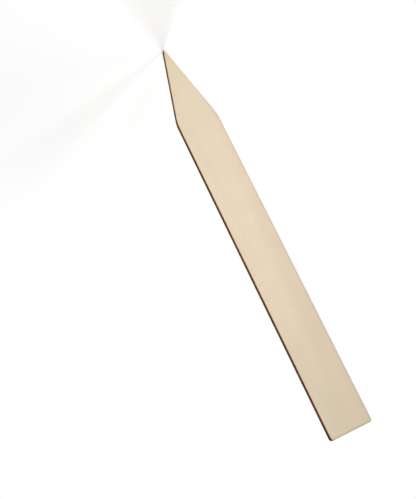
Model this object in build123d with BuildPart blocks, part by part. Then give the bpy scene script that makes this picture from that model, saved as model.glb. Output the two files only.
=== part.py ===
from build123d import *
from math import radians, sin, tan
import os

# Pointed plant label stake, cut by laser from a sheet of three-ply wood
# It stands point down, as it does in a pot. X runs across its width, Y through its
# thickness and Z up its length. The origin is the foot of the point, midway through
# the sheet, and the face for writing looks along -Y. Sizes are in millimetres.

# Outline of the stake
overall_length = 150.0
blade_width = 16.5
point_angle = 29.8
tip_radius = 0.3
shoulder_radius = 12.0
end_corner_radius = 1.0

# Layers of the sheet, from the face for writing to the back
face_veneer_thickness = 0.45
glue_film_thickness = 0.06
core_veneer_thickness = 0.58

# Lean of the cut walls, which narrows the outline towards the face for writing
kerf_draft = 1.0

# Sizes that follow from those above
half_width = blade_width / 2
half_point_angle = radians(point_angle) / 2
tip_cut_back = tip_radius / sin(half_point_angle) - tip_radius
shoulder_height = half_width / tan(half_point_angle) - tip_cut_back
sheet_thickness = 2 * face_veneer_thickness + 2 * glue_film_thickness + core_veneer_thickness

# Planes of the sheet, each facing the writer
back_plane = Plane.XZ.offset(-sheet_thickness / 2)
back_bond_plane = back_plane.offset(face_veneer_thickness)
core_back_plane = back_bond_plane.offset(glue_film_thickness)
core_front_plane = core_back_plane.offset(core_veneer_thickness)
front_bond_plane = core_front_plane.offset(glue_film_thickness)

# Blank: the whole outline, cut through all the layers in one pass
with BuildPart() as blank:
    with BuildSketch(back_plane) as outline:
        with BuildLine():
            Polyline(
                (0, -tip_cut_back),
                (half_width, shoulder_height),
                (half_width, overall_length),
                (-half_width, overall_length),
                (-half_width, shoulder_height),
                close=True,
            )
        make_face()
        fillet(outline.vertices().group_by(Axis.Y)[1], radius=shoulder_radius)
        fillet(outline.vertices().group_by(Axis.Y)[0], radius=tip_radius)
        fillet(outline.vertices().group_by(Axis.Y)[-1], radius=end_corner_radius)
    extrude(amount=sheet_thickness, taper=kerf_draft)

# Back veneer: outer layer, grain along the stake
with BuildPart() as back_veneer:
    add(blank.part)
    split(bisect_by=back_bond_plane, keep=Keep.BOTTOM)
back_veneer.part.label = "back_veneer"

# Back glue line: cured film between the back veneer and the core
with BuildPart() as back_glue_line:
    add(blank.part)
    split(bisect_by=back_bond_plane, keep=Keep.TOP)
    split(bisect_by=core_back_plane, keep=Keep.BOTTOM)
back_glue_line.part.label = "back_glue_line"

# Core veneer: middle layer, grain across the stake
with BuildPart() as core_veneer:
    add(blank.part)
    split(bisect_by=core_back_plane, keep=Keep.TOP)
    split(bisect_by=core_front_plane, keep=Keep.BOTTOM)
core_veneer.part.label = "core_veneer"

# Front glue line: cured film between the core and the front veneer
with BuildPart() as front_glue_line:
    add(blank.part)
    split(bisect_by=core_front_plane, keep=Keep.TOP)
    split(bisect_by=front_bond_plane, keep=Keep.BOTTOM)
front_glue_line.part.label = "front_glue_line"

# Front veneer: outer layer with the face for writing, grain along the stake
with BuildPart() as front_veneer:
    add(blank.part)
    split(bisect_by=front_bond_plane, keep=Keep.TOP)
front_veneer.part.label = "front_veneer"

os.makedirs("parts", exist_ok=True)
export_step(back_veneer.part, "parts/back_veneer.step")
export_step(back_glue_line.part, "parts/back_glue_line.step")
export_step(core_veneer.part, "parts/core_veneer.step")
export_step(front_glue_line.part, "parts/front_glue_line.step")
export_step(front_veneer.part, "parts/front_veneer.step")
print(f"point length {shoulder_height:.2f}, sheet thickness {sheet_thickness:.2f}")
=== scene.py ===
from math import radians

import bpy
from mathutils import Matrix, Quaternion, Vector


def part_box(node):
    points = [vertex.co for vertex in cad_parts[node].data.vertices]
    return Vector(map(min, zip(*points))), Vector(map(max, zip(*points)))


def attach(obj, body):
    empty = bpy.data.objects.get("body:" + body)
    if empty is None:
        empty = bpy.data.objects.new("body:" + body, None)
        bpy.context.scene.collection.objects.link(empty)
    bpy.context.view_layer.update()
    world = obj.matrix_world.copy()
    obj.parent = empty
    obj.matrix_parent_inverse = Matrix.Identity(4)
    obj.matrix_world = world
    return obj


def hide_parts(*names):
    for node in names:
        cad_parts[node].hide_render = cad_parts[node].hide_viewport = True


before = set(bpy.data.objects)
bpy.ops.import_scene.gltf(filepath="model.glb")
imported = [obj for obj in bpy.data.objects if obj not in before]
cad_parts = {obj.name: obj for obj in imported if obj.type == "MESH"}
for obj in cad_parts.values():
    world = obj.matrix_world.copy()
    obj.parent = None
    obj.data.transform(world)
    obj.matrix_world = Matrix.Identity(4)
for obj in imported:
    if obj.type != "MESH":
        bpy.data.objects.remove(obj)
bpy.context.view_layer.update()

# Core veneer
# The middle layer of the sheet, a thin pale veneer whose grain runs across the stake. It is glued
# between the two outer veneers before the laser cuts the outline through all the layers at once, so
# this section also holds the outline, the burn of the cut and the grain that the other layers share.

millimetre = 0.001
half_turn = radians(180)
stake_low, stake_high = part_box("back_veneer")
blade_width = stake_high.x - stake_low.x
overall_length = stake_high.z
sheet_back = stake_high.y
point_angle = radians(29.8)
tip_radius = 0.3 * millimetre
shoulder_radius = 12.0 * millimetre
end_corner_radius = 1.0 * millimetre
wall_lean = radians(1.0)
ridge_depth = 0.022 * millimetre
ridge_pitch = 0.55 * millimetre
ridge_squeeze = 0.12
washboard_squeeze = 0.02
flat_beside_cut = 0.6 * millimetre
steps_per_corner = 16
run_step = 0.2 * millimetre
crowding_at_rim = 1.6
cut_seed = 4.0
weld_distance = 0.001 * millimetre
sharp_angle = radians(38)


def add(tree, kind, feeds=None, **settings):
    """One node of a tree. Each feed is a value for that input, or the socket that leads to it."""
    made = tree.nodes.new(kind)
    for setting, value in settings.items():
        setattr(made, setting, value)
    for place, feed in (feeds or {}).items():
        if isinstance(feed, bpy.types.NodeSocket):
            tree.links.new(feed, made.inputs[place])
        else:
            made.inputs[place].default_value = feed
    return made


def maths(tree, operation, first, second=0.0, third=0.0):
    """The result of one Math node."""
    feeds = {0: first, 1: second, 2: third}
    return add(tree, "ShaderNodeMath", feeds, operation=operation).outputs[0]


def vector_maths(tree, operation, first, second=(0.0, 0.0, 0.0)):
    """The result of one Vector Math node."""
    return add(tree, "ShaderNodeVectorMath", {0: first, 1: second}, operation=operation).outputs[0]


def lengthened(tree, vector, factor):
    """A vector times a number."""
    feeds = {"Vector": vector, "Scale": factor}
    return add(tree, "ShaderNodeVectorMath", feeds, operation="SCALE").outputs[0]


def parts_of(tree, vector):
    """The X, Y and Z of a vector."""
    return add(tree, "ShaderNodeSeparateXYZ", {"Vector": vector}).outputs


def vector_from(tree, x, y, z):
    """A vector from its X, Y and Z."""
    return add(tree, "ShaderNodeCombineXYZ", {"X": x, "Y": y, "Z": z}).outputs[0]


def eased_over(tree, value, run, at_start=0.0, at_end=1.0):
    """What a value gives as it goes along a run, from the run's start to its end, with soft ends."""
    feeds = {"Value": value, "From Min": run[0], "From Max": run[1], "To Min": at_start,
             "To Max": at_end}
    return add(tree, "ShaderNodeMapRange", feeds, interpolation_type="SMOOTHSTEP").outputs[0]


def give_sockets(tree, in_out, kind, *titles):
    """Inputs or outputs of one kind for a tree, by their titles."""
    for title in titles:
        tree.interface.new_socket(title, in_out=in_out, socket_type="NodeSocket" + kind)


layer_tree = bpy.data.node_groups.new("Cut layer", "GeometryNodeTree")
give_sockets(layer_tree, "OUTPUT", "Geometry", "Geometry")
give_sockets(layer_tree, "INPUT", "Float", "Blade width", "Overall length", "Point angle", "Tip radius",
             "Shoulder radius", "End corner radius", "Sheet back", "Wall lean", "Layer front",
             "Layer back", "Run step", "Front rim radius", "Back rim radius", "Wall hollow",
             "Ridge depth", "Ridge pitch", "Front relief", "Back relief", "Relief pitch", "Seed")
give_sockets(layer_tree, "INPUT", "Int", "Steps per corner", "Front rows", "Wall rows", "Back rows")
give_sockets(layer_tree, "INPUT", "Material", "Material")
size = add(layer_tree, "NodeGroupInput").outputs

# The five corners of the outline, rounded, with a point at each short step along the straight runs
half_width = maths(layer_tree, "MULTIPLY", size["Blade width"], 0.5)
half_angle = maths(layer_tree, "MULTIPLY", size["Point angle"], 0.5)
sine = maths(layer_tree, "SINE", half_angle)
sharp_tip = maths(layer_tree, "DIVIDE", size["Tip radius"], sine)
tip_cut_back = maths(layer_tree, "SUBTRACT", sharp_tip, size["Tip radius"])
point_run = maths(layer_tree, "DIVIDE", half_width, maths(layer_tree, "TANGENT", half_angle))
shoulder_height = maths(layer_tree, "SUBTRACT", point_run, tip_cut_back)
left = maths(layer_tree, "MULTIPLY", half_width, -1.0)
below = maths(layer_tree, "MULTIPLY", tip_cut_back, -1.0)
corner_places = (
    vector_from(layer_tree, 0.0, 0.0, below),
    vector_from(layer_tree, half_width, 0.0, shoulder_height),
    vector_from(layer_tree, half_width, 0.0, size["Overall length"]),
    vector_from(layer_tree, left, 0.0, size["Overall length"]),
    vector_from(layer_tree, left, 0.0, shoulder_height),
)
corner_radii = (size["Tip radius"], size["Shoulder radius"], size["End corner radius"],
                size["End corner radius"], size["Shoulder radius"])


def by_index(kind, choices):
    """A field that takes its value for each point from the choices in turn."""
    switch = layer_tree.nodes.new("GeometryNodeIndexSwitch")
    switch.data_type = kind
    while len(switch.index_switch_items) < len(choices):
        switch.index_switch_items.new()
    layer_tree.links.new(add(layer_tree, "GeometryNodeInputIndex").outputs[0], switch.inputs[0])
    for number, choice in enumerate(choices):
        layer_tree.links.new(choice, switch.inputs[number + 1])
    return switch.outputs[0]


ring = add(layer_tree, "GeometryNodeCurvePrimitiveCircle", {"Resolution": len(corner_places)})
sharp_outline = add(layer_tree, "GeometryNodeSetPosition",
                    {"Geometry": ring.outputs["Curve"], "Position": by_index("VECTOR", corner_places)})
round_outline = add(layer_tree, "GeometryNodeFilletCurve",
                    {"Curve": sharp_outline.outputs[0], "Count": size["Steps per corner"],
                     "Radius": by_index("FLOAT", corner_radii)}, mode="POLY")
here = add(layer_tree, "GeometryNodeInputPosition").outputs[0]
next_point = add(layer_tree, "GeometryNodeOffsetPointInCurve", {"Offset": 1}).outputs["Point Index"]
there = add(layer_tree, "GeometryNodeFieldAtIndex", {"Index": next_point},
            data_type="FLOAT_VECTOR", domain="POINT")
layer_tree.links.new(here, there.inputs["Value"])
run_length = add(layer_tree, "ShaderNodeVectorMath", {0: here, 1: there.outputs[0]},
                 operation="DISTANCE").outputs["Value"]
cuts = maths(layer_tree, "FLOOR", maths(layer_tree, "DIVIDE", run_length, size["Run step"]))
outline = add(layer_tree, "GeometryNodeSubdivideCurve",
              {"Curve": round_outline.outputs[0], "Cuts": cuts}).outputs[0]
points = add(layer_tree, "GeometryNodeAttributeDomainSize", {"Geometry": outline},
             component="CURVE").outputs["Point Count"]
closing_point = maths(layer_tree, "ADD", points, 1.0)
outline_wire = add(layer_tree, "GeometryNodeCurveToMesh", {"Curve": outline}).outputs[0]


def sampled(kind, column):
    """What the outline's points hold at a column: its place or its tangent."""
    source = add(layer_tree, kind).outputs[0]
    taken = add(layer_tree, "GeometryNodeSampleIndex", {"Geometry": outline, "Index": column},
                data_type="FLOAT_VECTOR", domain="POINT")
    layer_tree.links.new(source, taken.inputs["Value"])
    return taken.outputs[0]


def columns(rows):
    """A grid with one column for each point of the outline: its mesh, the point of each column,
    the direction from there into the sheet, and how far along its rows each vertex is."""
    grid = add(layer_tree, "GeometryNodeMeshGrid", {"Vertices X": closing_point, "Vertices Y": rows})
    index = add(layer_tree, "GeometryNodeInputIndex").outputs[0]
    # The half keeps a vertex at the edge of its column from being rounded into the one before
    in_columns = maths(layer_tree, "DIVIDE", maths(layer_tree, "ADD", index, 0.5), rows)
    column = maths(layer_tree, "FLOOR", in_columns)
    row = maths(layer_tree, "SUBTRACT", index, maths(layer_tree, "MULTIPLY", column, rows))
    share = maths(layer_tree, "DIVIDE", row, maths(layer_tree, "SUBTRACT", rows, 1.0))
    turn = maths(layer_tree, "MODULO", column, points)
    along = parts_of(layer_tree, sampled("GeometryNodeInputTangent", turn))
    inward = vector_from(layer_tree, maths(layer_tree, "MULTIPLY", along[2], -1.0), 0.0, along[0])
    return grid.outputs["Mesh"], sampled("GeometryNodeInputPosition", turn), inward, share


def lean_at(depth):
    """How far the leaning wall has drawn in from the outline at a depth through the sheet."""
    off_back = maths(layer_tree, "SUBTRACT", size["Sheet back"], depth)
    return maths(layer_tree, "MULTIPLY", off_back, maths(layer_tree, "TANGENT", size["Wall lean"]))


def rounding(from_rim, radius):
    """How far a rim of that radius has drawn back at a depth from it."""
    reach = maths(layer_tree, "DIVIDE", maths(layer_tree, "SUBTRACT", radius, from_rim), radius)
    reach = maths(layer_tree, "MINIMUM", maths(layer_tree, "MAXIMUM", reach, 0.0), 1.0)
    rest = maths(layer_tree, "SUBTRACT", 1.0, maths(layer_tree, "MULTIPLY", reach, reach))
    drawn = maths(layer_tree, "SUBTRACT", 1.0, maths(layer_tree, "SQRT", rest))
    return maths(layer_tree, "MULTIPLY", drawn, radius)


def on_wall(point, inward, depth, share):
    """The place on the cut wall at a depth through the sheet. The wall leans in towards the front,
    is ridged along the beam, hollowed in the middle of the layer and rounded at its rims."""
    across = parts_of(layer_tree, point)
    down_beam = maths(layer_tree, "MULTIPLY", depth, ridge_squeeze)
    beam = vector_from(layer_tree, across[0], down_beam, across[2])
    ridges = add(layer_tree, "ShaderNodeTexNoise",
                 {"Vector": beam, "W": size["Seed"], "Detail": 2.0, "Roughness": 0.6,
                  "Scale": maths(layer_tree, "DIVIDE", 1.0, size["Ridge pitch"])},
                 noise_dimensions="4D").outputs["Fac"]
    inset = maths(layer_tree, "MULTIPLY_ADD", ridges, size["Ridge depth"], lean_at(depth))
    from_front = maths(layer_tree, "SUBTRACT", depth, size["Layer front"])
    from_back = maths(layer_tree, "SUBTRACT", size["Layer back"], depth)
    inset = maths(layer_tree, "ADD", inset, rounding(from_front, size["Front rim radius"]))
    inset = maths(layer_tree, "ADD", inset, rounding(from_back, size["Back rim radius"]))
    bow = maths(layer_tree, "SINE", maths(layer_tree, "MULTIPLY", share, half_turn))
    inset = maths(layer_tree, "MULTIPLY_ADD", bow, size["Wall hollow"], inset)
    flat = vector_maths(layer_tree, "ADD", point, lengthened(layer_tree, inward, inset))
    return vector_maths(layer_tree, "ADD", flat, vector_from(layer_tree, 0.0, depth, 0.0))


def from_cut(place):
    """How far a place on a face is from the rim of the cut."""
    at = parts_of(layer_tree, place)
    beside = vector_from(layer_tree, at[0], 0.0, at[2])
    gap = add(layer_tree, "GeometryNodeProximity",
              {"Geometry": outline_wire, "Sample Position": beside},
              target_element="EDGES").outputs["Distance"]
    worn = maths(layer_tree, "MAXIMUM", size["Front rim radius"], size["Back rim radius"])
    rim_inset = maths(layer_tree, "ADD", lean_at(at[1]), worn)
    return maths(layer_tree, "MAXIMUM", maths(layer_tree, "SUBTRACT", gap, rim_inset), 0.0)


def face_of_layer(rows, depth, share_at_rim, relief, inwards):
    """One flat face of the layer, from its middle line out to the rim of the cut, with the grain's
    faint washboard in it."""
    mesh, point, inward, share = columns(rows)
    rim = on_wall(point, inward, depth, share_at_rim)
    highest = maths(layer_tree, "SUBTRACT", size["Overall length"], half_width)
    level = maths(layer_tree, "MAXIMUM", parts_of(layer_tree, point)[2], size["Tip radius"])
    middle = vector_from(layer_tree, 0.0, depth, maths(layer_tree, "MINIMUM", level, highest))
    to_go = maths(layer_tree, "SUBTRACT", 1.0, share)
    left_over = maths(layer_tree, "POWER", to_go, crowding_at_rim)
    spread = maths(layer_tree, "SUBTRACT", 1.0, left_over)
    run = lengthened(layer_tree, vector_maths(layer_tree, "SUBTRACT", rim, middle), spread)
    flat = vector_maths(layer_tree, "ADD", middle, run)
    at = parts_of(layer_tree, flat)
    up_grain = maths(layer_tree, "MULTIPLY", at[2], washboard_squeeze)
    fibre = vector_from(layer_tree, at[0], 0.0, up_grain)
    wave = add(layer_tree, "ShaderNodeTexNoise",
               {"Vector": fibre, "W": size["Seed"], "Detail": 1.0, "Roughness": 0.5,
                "Scale": maths(layer_tree, "DIVIDE", 1.0, size["Relief pitch"])},
               noise_dimensions="4D").outputs["Fac"]
    fade = eased_over(layer_tree, from_cut(flat), (0.0, flat_beside_cut))
    sunk = maths(layer_tree, "MULTIPLY", maths(layer_tree, "MULTIPLY", wave, relief), fade)
    sunk = maths(layer_tree, "MULTIPLY", sunk, inwards)
    place = vector_maths(layer_tree, "ADD", flat, vector_from(layer_tree, 0.0, sunk, 0.0))
    return add(layer_tree, "GeometryNodeSetPosition", {"Geometry": mesh, "Position": place}).outputs[0]


front_face = face_of_layer(size["Front rows"], size["Layer front"], 0.0, size["Front relief"], 1.0)
back_face = face_of_layer(size["Back rows"], size["Layer back"], 1.0, size["Back relief"], -1.0)
wall_mesh, wall_point, wall_inward, wall_share = columns(size["Wall rows"])
swing = maths(layer_tree, "COSINE", maths(layer_tree, "MULTIPLY", wall_share, half_turn))
eased = maths(layer_tree, "MULTIPLY_ADD", swing, -0.5, 0.5)
thickness = maths(layer_tree, "SUBTRACT", size["Layer back"], size["Layer front"])
wall_depth = maths(layer_tree, "MULTIPLY_ADD", eased, thickness, size["Layer front"])
wall = add(layer_tree, "GeometryNodeSetPosition",
           {"Geometry": wall_mesh, "Position": on_wall(wall_point, wall_inward, wall_depth, wall_share)})
marked_wall = add(layer_tree, "GeometryNodeStoreNamedAttribute",
                  {"Geometry": wall.outputs[0], "Name": "cut_wall", "Value": 1.0},
                  data_type="FLOAT", domain="FACE")
turned_front = add(layer_tree, "GeometryNodeFlipFaces", {"Mesh": front_face})
turned_wall = add(layer_tree, "GeometryNodeFlipFaces", {"Mesh": marked_wall.outputs[0]})
joined = layer_tree.nodes.new("GeometryNodeJoinGeometry")
for sheet in (turned_front.outputs[0], turned_wall.outputs[0], back_face):
    layer_tree.links.new(sheet, joined.inputs[0])
welded = add(layer_tree, "GeometryNodeMergeByDistance",
             {"Geometry": joined.outputs[0], "Distance": weld_distance})
measured = add(layer_tree, "GeometryNodeStoreNamedAttribute",
               {"Geometry": welded.outputs[0], "Name": "from_cut", "Value": from_cut(here)},
               data_type="FLOAT", domain="POINT")
fold = add(layer_tree, "GeometryNodeInputMeshEdgeAngle").outputs["Unsigned Angle"]
folded = maths(layer_tree, "GREATER_THAN", fold, sharp_angle)
edged = add(layer_tree, "GeometryNodeStoreNamedAttribute",
            {"Geometry": measured.outputs[0], "Name": "sharp_edge"}, data_type="BOOLEAN", domain="EDGE")
layer_tree.links.new(folded, edged.inputs["Value"])
smooth = add(layer_tree, "GeometryNodeSetShadeSmooth", {"Geometry": edged.outputs[0]})
real = add(layer_tree, "GeometryNodeRealizeInstances", {"Geometry": smooth.outputs[0]})
dressed = add(layer_tree, "GeometryNodeSetMaterial",
              {"Geometry": real.outputs[0], "Material": size["Material"]})
add(layer_tree, "NodeGroupOutput", {"Geometry": dressed.outputs[0]})


def cut_layer(name, node, material, **own):
    """A plain mesh of one layer in the place of its CAD node, cut to the stake's outline."""
    low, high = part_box(node)
    sizes = {"Blade width": blade_width, "Overall length": overall_length, "Point angle": point_angle,
             "Tip radius": tip_radius, "Shoulder radius": shoulder_radius,
             "End corner radius": end_corner_radius, "Sheet back": sheet_back, "Wall lean": wall_lean,
             "Layer front": low.y, "Layer back": high.y, "Run step": run_step,
             "Front rim radius": 0.0, "Back rim radius": 0.0, "Wall hollow": 0.0,
             "Ridge depth": ridge_depth, "Ridge pitch": ridge_pitch, "Front relief": 0.0,
             "Back relief": 0.0, "Relief pitch": 1.0 * millimetre, "Seed": cut_seed,
             "Steps per corner": steps_per_corner, "Front rows": 2, "Back rows": 2,
             "Material": material}
    for title, value in own.items():
        sizes[title.replace("_", " ").capitalize()] = value
    piece = bpy.data.objects.new(name, bpy.data.meshes.new(name))
    bpy.context.scene.collection.objects.link(piece)
    cutting = piece.modifiers.new("Cut layer", "NODES")
    cutting.node_group = layer_tree
    for socket in layer_tree.interface.items_tree:
        if socket.in_out == "INPUT":
            cutting[socket.identifier] = sizes[socket.name]
    finished = piece.evaluated_get(bpy.context.evaluated_depsgraph_get())
    mesh = bpy.data.meshes.new_from_object(finished)
    piece.modifiers.remove(cutting)
    piece.data = mesh
    mesh.name = name
    return piece


def noise(tree, place, per_mm, detail, roughness=0.5, squeeze=(1.0, 1.0, 1.0), distortion=0.0):
    """A noise at a place in millimetres, drawn out along each way in which the place is squeezed."""
    squeezed = add(tree, "ShaderNodeMapping", {"Vector": place, "Scale": squeeze}).outputs[0]
    feeds = {"Vector": squeezed, "Scale": per_mm, "Detail": detail, "Roughness": roughness,
             "Distortion": distortion}
    return add(tree, "ShaderNodeTexNoise", feeds).outputs["Fac"]


def swung(tree, by, share, value):
    """A value that a noise swings up and down by its share."""
    return maths(tree, "MULTIPLY_ADD", maths(tree, "SUBTRACT", by, 0.5), share, value)


# The grain is fine fibres, broad bands and short dark flecks, all drawn out along the wood, over a
# soft mottling. The height that it gives for bumps dips at the flecks.
fibres_per_mm = 2.6
fibre_squeeze = (1.0, 1.0, 0.022)
bands_per_mm = 0.32
band_squeeze = (1.0, 1.0, 0.012)
mottles_per_mm = 0.07
mottle_share = 1.2
flecks_per_mm = 5.5
fleck_squeeze = (1.0, 1.0, 0.07)
fleck_run = (0.66, 0.78)
fleck_dip = -0.8
palest = -1.0
darkest = 3.0
grain = bpy.data.node_groups.new("Wood grain", "ShaderNodeTree")
give_sockets(grain, "INPUT", "Vector", "Along grain")
give_sockets(grain, "INPUT", "Color", "Pale", "Dark")
give_sockets(grain, "INPUT", "Float", "Fibre share", "Band share", "Wide share", "Fleck strength")
give_sockets(grain, "OUTPUT", "Color", "Color")
give_sockets(grain, "OUTPUT", "Float", "Height")
wood = add(grain, "NodeGroupInput").outputs
in_wood = wood["Along grain"]
fibres = noise(grain, in_wood, fibres_per_mm, detail=4.0, roughness=0.62, squeeze=fibre_squeeze)
bands = noise(grain, in_wood, bands_per_mm, detail=2.0, squeeze=band_squeeze, distortion=0.5)
mottle = noise(grain, in_wood, mottles_per_mm, detail=2.0)
flecks = noise(grain, in_wood, flecks_per_mm, detail=1.0, squeeze=fleck_squeeze)
fleck = eased_over(grain, flecks, fleck_run)

# A wide, slightly darker band of growth runs up one side. Its edge is a little aslant, and it shows
# less towards the point.
growth_slant = -0.065
growth_edge = (-10.2, -5.2)
growth_run = (30.0, 70.0)
growth_at_point = 0.4
across_wood, _, up_wood = parts_of(grain, in_wood)
aslant = maths(grain, "MULTIPLY_ADD", up_wood, growth_slant, across_wood)
beside_edge = eased_over(grain, aslant, growth_edge, at_start=0.5, at_end=-0.5)
growing = eased_over(grain, up_wood, growth_run, at_start=growth_at_point)
wide_band = maths(grain, "MULTIPLY", beside_edge, growing)
even = swung(grain, fibres, wood["Fibre share"], 0.5)
even = swung(grain, bands, wood["Band share"], even)
even = swung(grain, mottle, mottle_share, even)
even = maths(grain, "MULTIPLY_ADD", wide_band, wood["Wide share"], even)
shade = maths(grain, "MULTIPLY_ADD", fleck, wood["Fleck strength"], even)
limited = add(grain, "ShaderNodeClamp", {"Value": shade, "Min": palest, "Max": darkest}).outputs[0]
blend = add(grain, "ShaderNodeMix", {0: limited, 6: wood["Pale"], 7: wood["Dark"]}, data_type="RGBA",
            clamp_factor=False).outputs[2]
rise = maths(grain, "MULTIPLY_ADD", fleck, fleck_dip, fibres)
add(grain, "NodeGroupOutput", {"Color": blend, "Height": rise})

# The burn browns the faces beside the cut and chars the wall. Gusts make its width on the faces uneven.
gusts_per_mm = 0.7
least_gust = 0.5
burn = bpy.data.node_groups.new("Laser burn", "ShaderNodeTree")
give_sockets(burn, "INPUT", "Vector", "Place")
give_sockets(burn, "INPUT", "Color", "Wood", "Toasted", "Sooted", "Scorched rim", "Char", "Ember")
give_sockets(burn, "INPUT", "Float", "Toast width", "Toast strength", "Soot width", "Soot strength",
             "Rim width", "Char heat", "Wood rise", "End grain")
give_sockets(burn, "OUTPUT", "Color", "Color")
give_sockets(burn, "OUTPUT", "Float", "Roughness", "Height")
cut = add(burn, "NodeGroupInput").outputs
to_cut = add(burn, "ShaderNodeAttribute", attribute_name="from_cut").outputs["Fac"]
on_cut = add(burn, "ShaderNodeAttribute", attribute_name="cut_wall").outputs["Fac"]
near = maths(burn, "DIVIDE", to_cut, millimetre)
gusts = noise(burn, cut["Place"], gusts_per_mm, detail=3.0, roughness=0.6)
uneven = maths(burn, "ADD", gusts, least_gust)


def fading(width, strength):
    """A mask that is as strong as given at the cut and fades away from it over about that width."""
    reach = maths(burn, "MULTIPLY", width, uneven)
    falling = maths(burn, "MULTIPLY", maths(burn, "DIVIDE", near, reach), -1.0)
    return maths(burn, "MULTIPLY", maths(burn, "EXPONENT", falling), strength)


def laid_on(mask, under, over):
    """One colour over another, as far as the mask says."""
    return add(burn, "ShaderNodeMix", {0: mask, 6: under, 7: over}, data_type="RGBA").outputs[2]


# The smoke is drawn off to one side, over the far rim and the square end, and less along the point.
# It lies over the toast there. The narrow tip takes the heat and the smoke of both cuts. Each run is
# in millimetres across or up the stake, from where its effect starts to where it is full.
lee_run = (5.0, -5.0)
lee_smoke = 0.72
windward_smoke = 0.05
blade_run = (20.0, 32.0)
point_smoke = 0.5
end_run = (146.0, 149.5)
tip_run = (5.0, 1.0)
narrow_run = (12.0, 3.0)
narrow_toast = 0.3
covered_toast = -0.6
across, depth, height = parts_of(burn, cut["Place"])
down_wind = eased_over(burn, across, lee_run, at_start=windward_smoke)
above_point = eased_over(burn, height, blade_run, at_start=point_smoke)
at_end = eased_over(burn, height, end_run)
at_tip = eased_over(burn, height, tip_run)
drifted = maths(burn, "MULTIPLY", maths(burn, "MULTIPLY", down_wind, above_point), lee_smoke)
smoked = maths(burn, "MAXIMUM", drifted, maths(burn, "MAXIMUM", at_end, at_tip))
near_tip = eased_over(burn, height, narrow_run)
toast_width = maths(burn, "MULTIPLY_ADD", near_tip, cut["Toast width"], cut["Toast width"])
bare_toast = maths(burn, "MULTIPLY_ADD", near_tip, narrow_toast, cut["Toast strength"])
uncovered = maths(burn, "MULTIPLY_ADD", down_wind, covered_toast, 1.0)
toast = fading(toast_width, maths(burn, "MULTIPLY", bare_toast, uncovered))
soot = maths(burn, "MULTIPLY", fading(cut["Soot width"], cut["Soot strength"]), smoked)
rim = fading(cut["Rim width"], 1.0)
toasted = laid_on(toast, cut["Wood"], cut["Toasted"])
sooted = laid_on(soot, toasted, cut["Sooted"])
rimmed = laid_on(rim, sooted, cut["Scorched rim"])

# On the wall the char is streaked along the beam, lighter where the beam came in, and darker where it
# cut across the fibres or slowed down to turn, at the tip and the two corners. It is darker too beside
# the glue lines, where the wood has soaked up resin.
streaks_per_mm = 2.9
streak_squeeze = (1.0, 0.1, 1.0)
streak_share = 1.4
drifts_per_mm = 0.16
drift_share = 0.9
wood_share = 0.7
depth_share = -0.1
cross_cut_share = -0.5
resin_run = (0.15, 0.03)
resin_share = -0.4
slow_tip_run = (3.0, 0.5)
slow_end_run = (147.0, 149.2)
corner_run = (6.2, 7.8)
slow_share = -0.45
smoked_tip_run = (1.5, 0.3)
smoked_tip_share = 0.5
streaks = noise(burn, cut["Place"], streaks_per_mm, detail=4.0, roughness=0.65,
                squeeze=streak_squeeze)
drifts = noise(burn, cut["Place"], drifts_per_mm, detail=1.0)
heat = swung(burn, streaks, streak_share, cut["Char heat"])
heat = swung(burn, drifts, drift_share, heat)
heat = swung(burn, cut["Wood rise"], wood_share, heat)
heat = maths(burn, "MULTIPLY_ADD", depth, depth_share, heat)
heat = maths(burn, "MULTIPLY_ADD", cut["End grain"], cross_cut_share, heat)
film_low, film_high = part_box("back_glue_line")
film_middle = (film_low.y + film_high.y) / 2 / millimetre
off_core_middle = maths(burn, "ABSOLUTE", depth)
from_film = maths(burn, "ABSOLUTE", maths(burn, "SUBTRACT", off_core_middle, film_middle))
soaked = eased_over(burn, from_film, resin_run)
heat = maths(burn, "MULTIPLY_ADD", soaked, resin_share, heat)
slow_at_tip = eased_over(burn, height, slow_tip_run)
slow_at_end = eased_over(burn, height, slow_end_run)
beside_corner = eased_over(burn, maths(burn, "ABSOLUTE", across), corner_run)
slow_at_corner = maths(burn, "MULTIPLY", slow_at_end, beside_corner)
slowed = maths(burn, "MAXIMUM", slow_at_tip, slow_at_corner)
heat = maths(burn, "MULTIPLY_ADD", slowed, slow_share, heat)
glow = add(burn, "ShaderNodeClamp", {"Value": heat}).outputs[0]
charred = laid_on(glow, cut["Char"], cut["Ember"])
smoked_tip = eased_over(burn, height, smoked_tip_run, at_end=smoked_tip_share)
wall_look = laid_on(smoked_tip, charred, cut["Sooted"])
shown = laid_on(on_cut, rimmed, wall_look)
wall_roughness = {"To Min": 0.8, "To Max": 1.0}
face_roughness = {"To Min": 0.72, "To Max": 0.58}
matt = add(burn, "ShaderNodeMapRange", {"Value": streaks, **wall_roughness}).outputs[0]
sanded = add(burn, "ShaderNodeMapRange", {"Value": cut["Wood rise"], **face_roughness}).outputs[0]
dull = add(burn, "ShaderNodeMix", {0: on_cut, 2: sanded, 3: matt}, data_type="FLOAT")
relief = add(burn, "ShaderNodeMix", {0: on_cut, 2: cut["Wood rise"], 3: streaks}, data_type="FLOAT")
add(burn, "NodeGroupOutput", {"Color": shown, "Roughness": dull.outputs[0], "Height": relief.outputs[0]})


in_millimetres = (1 / millimetre,) * 3
wood_gloss = 0.12
bump_strength = 0.5
bump_height = 0.02 * millimetre


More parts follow.
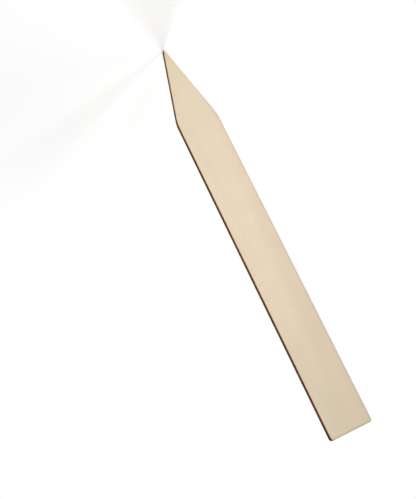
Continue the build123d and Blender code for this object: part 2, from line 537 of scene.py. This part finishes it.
def cut_wood(name, turn, look, burnt):
    """A material of the sheet. Its grain runs up the stake, or another way as it is turned."""
    made = bpy.data.materials.new(name)
    made.use_nodes = True
    tree = made.node_tree
    surface = tree.nodes["Principled BSDF"]
    surface.inputs["Specular IOR Level"].default_value = wood_gloss
    on_piece = add(tree, "ShaderNodeTexCoord").outputs
    place = add(tree, "ShaderNodeMapping",
                {"Vector": on_piece["Object"], "Scale": in_millimetres}).outputs[0]
    in_wood = add(tree, "ShaderNodeMapping", {"Vector": place, "Rotation": turn}).outputs[0]
    outward = add(tree, "ShaderNodeMapping", {"Vector": on_piece["Normal"], "Rotation": turn},
                  vector_type="NORMAL").outputs[0]
    end_grain = maths(tree, "ABSOLUTE", parts_of(tree, outward)[2])
    grown = add(tree, "ShaderNodeGroup", {"Along grain": in_wood, **look}, node_tree=grain).outputs
    seared = add(tree, "ShaderNodeGroup",
                 {"Place": place, "Wood": grown["Color"], "Wood rise": grown["Height"],
                  "End grain": end_grain, **burnt}, node_tree=burn)
    bumps = add(tree, "ShaderNodeBump", {"Height": seared.outputs["Height"],
                                         "Strength": bump_strength, "Distance": bump_height})
    tree.links.new(seared.outputs["Color"], surface.inputs["Base Color"])
    tree.links.new(seared.outputs["Roughness"], surface.inputs["Roughness"])
    tree.links.new(bumps.outputs[0], surface.inputs["Normal"])
    return made


across_stake = (0.0, half_turn / 2, 0.0)
core_hollow = 0.02 * millimetre
core_look = {"Pale": (0.62, 0.49, 0.32, 1.0), "Dark": (0.5, 0.37, 0.22, 1.0), "Fibre share": 1.0,
             "Band share": 0.8, "Wide share": 0.0, "Fleck strength": 0.8}
core_burn = {"Toasted": (0.55, 0.4, 0.22, 1.0), "Sooted": (0.24, 0.17, 0.11, 1.0),
             "Scorched rim": (0.46, 0.235, 0.12, 1.0),
             "Char": (0.13, 0.047, 0.018, 1.0), "Ember": (0.66, 0.335, 0.165, 1.0),
             "Toast width": 0.9, "Toast strength": 0.85, "Soot width": 0.3, "Soot strength": 0.5,
             "Rim width": 0.05, "Char heat": 0.97}
core_wood = cut_wood("cross grain core", across_stake, core_look, core_burn)
core = cut_layer("core_layer", "core_veneer", core_wood, wall_hollow=core_hollow, wall_rows=8)
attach(core, "root")
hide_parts("core_veneer")

# Glue lines
# Two thin films of cured resin, one on each side of the core, pressed between the veneers while
# they were soft. The laser burns their cut edges almost black.

up_stake = (0.0, 0.0, 0.0)
film_look = {"Pale": (0.22, 0.13, 0.08, 1.0), "Dark": (0.17, 0.1, 0.06, 1.0), "Fibre share": 0.3,
             "Band share": 0.3, "Wide share": 0.0, "Fleck strength": 0.0}
film_burn = {"Toasted": (0.16, 0.09, 0.05, 1.0), "Sooted": (0.06, 0.04, 0.03, 1.0),
             "Scorched rim": (0.09, 0.042, 0.022, 1.0),
             "Char": (0.02, 0.011, 0.008, 1.0), "Ember": (0.09, 0.042, 0.022, 1.0),
             "Toast width": 0.9, "Toast strength": 0.85, "Soot width": 0.3, "Soot strength": 0.5,
             "Rim width": 0.05, "Char heat": 0.75}
film = cut_wood("cured resin film", up_stake, film_look, film_burn)
front_film = cut_layer("front_glue_film", "front_glue_line", film, wall_rows=3)
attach(front_film, "root")
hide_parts("front_glue_line")
back_film = cut_layer("back_glue_film", "back_glue_line", film, wall_rows=3)
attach(back_film, "root")
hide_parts("back_glue_line")

# Face veneers
# The two outer layers, rotary cut from a pale soft wood, with the grain along the stake. They are
# pressed onto the core and fine sanded. The heat of the cut then eases their outer rims a little.

rim_radius = 0.05 * millimetre
washboard = 0.012 * millimetre
washboard_pitch = 2.2 * millimetre
face_hollow = 0.01 * millimetre
face_look = {"Pale": (0.824, 0.708, 0.534, 1.0), "Dark": (0.764, 0.643, 0.468, 1.0),
             "Fibre share": 0.9, "Band share": 0.9, "Wide share": 0.65, "Fleck strength": 1.0}
face_burn = {"Toasted": (0.86, 0.68, 0.44, 1.0), "Sooted": (0.25, 0.23, 0.215, 1.0),
             "Scorched rim": (0.62, 0.37, 0.22, 1.0),
             "Char": (0.15, 0.052, 0.02, 1.0), "Ember": (0.9, 0.51, 0.29, 1.0),
             "Toast width": 0.9, "Toast strength": 0.5, "Soot width": 0.3, "Soot strength": 0.69,
             "Rim width": 0.045, "Char heat": 0.94}
face_wood = cut_wood("long grain face", up_stake, face_look, face_burn)
back_face_layer = cut_layer("back_face_layer", "back_veneer", face_wood, back_rows=32, wall_rows=12,
                            back_rim_radius=rim_radius, wall_hollow=face_hollow,
                            back_relief=washboard, relief_pitch=washboard_pitch)
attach(back_face_layer, "root")
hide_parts("back_veneer")
front_face_layer = cut_layer("front_face_layer", "front_veneer", face_wood, front_rows=32, wall_rows=12,
                             front_rim_radius=rim_radius, wall_hollow=face_hollow,
                             front_relief=washboard, relief_pitch=washboard_pitch)
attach(front_face_layer, "root")
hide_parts("front_veneer")

# Floor and sky
# A plain pale floor under the point and an even white surround, which aren't part of the stake. To
# the camera both are white, and around the point the floor keeps a faint share of the stake's shadow.

floor_reach = 6.0
floor_grey = 0.5
shadow_share = 1.0
near_glow = 0.4
shadow_fades_from = 0.04
all_white_from = 0.14
pure_white = (1.0, 1.0, 1.0, 1.0)
corners = [(-floor_reach, -floor_reach, 0.0), (floor_reach, -floor_reach, 0.0),
           (floor_reach, floor_reach, 0.0), (-floor_reach, floor_reach, 0.0)]
floor_mesh = bpy.data.meshes.new("floor")
floor_mesh.from_pydata(corners, [], [(0, 1, 2, 3)])
floor = bpy.data.objects.new("floor", floor_mesh)
bpy.context.scene.collection.objects.link(floor)


def seen(tree):
    """1 for what is seen, directly, in gloss or through glass, and 0 for light that falls on things."""
    path = add(tree, "ShaderNodeLightPath").outputs
    gloss = maths(tree, "MAXIMUM", path["Is Camera Ray"], path["Is Glossy Ray"])
    return maths(tree, "MAXIMUM", gloss, path["Is Transmission Ray"])


floor_paint = bpy.data.materials.new("plain pale floor")
floor_paint.use_nodes = True
paint_tree = floor_paint.node_tree
paint_tree.nodes.clear()
lit = add(paint_tree, "ShaderNodeBsdfDiffuse", {"Color": (floor_grey, floor_grey, floor_grey, 1.0)})
faint = add(paint_tree, "ShaderNodeBsdfDiffuse",
            {"Color": (shadow_share, shadow_share, shadow_share, 1.0)})
on_floor = add(paint_tree, "ShaderNodeTexCoord").outputs["Object"]
from_point = add(paint_tree, "ShaderNodeVectorMath", {0: on_floor}, operation="LENGTH").outputs["Value"]
faded = eased_over(paint_tree, from_point, (shadow_fades_from, all_white_from))
lift = add(paint_tree, "ShaderNodeEmission", {"Color": pure_white, "Strength": near_glow})
shaded_floor = add(paint_tree, "ShaderNodeAddShader", {0: faint.outputs[0], 1: lift.outputs[0]})
white = add(paint_tree, "ShaderNodeEmission", {"Color": pure_white, "Strength": 1.0})
shown_floor = add(paint_tree, "ShaderNodeMixShader", {0: faded, 1: shaded_floor.outputs[0],
                                                      2: white.outputs[0]})
either = add(paint_tree, "ShaderNodeMixShader", {0: seen(paint_tree), 1: lit.outputs[0],
                                                 2: shown_floor.outputs[0]})
add(paint_tree, "ShaderNodeOutputMaterial", {"Surface": either.outputs[0]})
floor_mesh.materials.append(floor_paint)

sky_level = 0.12
sky = bpy.data.worlds.new("even studio")
sky.use_nodes = True
sky_tree = sky.node_tree
sky_tree.nodes.clear()
soft_sky = add(sky_tree, "ShaderNodeBackground", {"Color": pure_white, "Strength": sky_level})
white_sky = add(sky_tree, "ShaderNodeBackground", {"Color": pure_white, "Strength": 1.0})
both = add(sky_tree, "ShaderNodeMixShader", {0: seen(sky_tree), 1: soft_sky.outputs[0],
                                             2: white_sky.outputs[0]})
add(sky_tree, "ShaderNodeOutputWorld", {"Surface": both.outputs[0]})
bpy.context.scene.world = sky

# Lamps
# Three soft boxes. The key stands in front and low, so the point is a little brighter than the
# square end. The fill stands on the left, away from the camera, and the third lights the back.


def soft_box(name, place, target, width, power):
    """A square area lamp at a place, turned to face the target."""
    lamp = bpy.data.lights.new(name, "AREA")
    lamp.size = width
    lamp.energy = power
    holder = bpy.data.objects.new(name, lamp)
    holder.location = place
    holder.rotation_mode = "QUATERNION"
    holder.rotation_quaternion = (target - place).to_track_quat("-Z", "Y")
    holder.visible_camera = False
    bpy.context.scene.collection.objects.link(holder)


low_on_stake = Vector((0.0, 0.0, 0.045))
near_middle = Vector((0.0, 0.0, 0.07))
soft_box("key", Vector((0.0, -0.215, 0.045)), low_on_stake, width=0.07, power=0.228)
soft_box("fill", Vector((-0.45, -0.6, 0.25)), near_middle, width=0.3, power=2.24)
soft_box("back", Vector((-0.2, 0.6, 0.3)), near_middle, width=0.4, power=3.55)

# Camera
# It looks from the front right and a little above, and is rolled over so that the point is at the
# upper left of the picture, as in the photograph.

aim = Vector((0.014846, 0.007161, 0.07542))
distance = 0.252711
azimuth = radians(-25.31)
elevation = radians(13.869)
roll = radians(154.594)
view_camera = bpy.data.cameras.new("view")
view_camera.lens = 52.843
view_camera.clip_start = 0.01
camera = bpy.data.objects.new("view", view_camera)
level_look = Vector((0.0, 1.0, 0.0))
heading = Quaternion((0.0, 0.0, 1.0), -azimuth)
look = heading @ Quaternion((1.0, 0.0, 0.0), -elevation) @ level_look
camera.location = aim - look * distance
camera.rotation_mode = "QUATERNION"
camera.rotation_quaternion = look.to_track_quat("-Z", "Y") @ Quaternion((0.0, 0.0, 1.0), roll)
bpy.context.scene.collection.objects.link(camera)
bpy.context.scene.camera = camera
bpy.context.scene.view_settings.view_transform = "Standard"
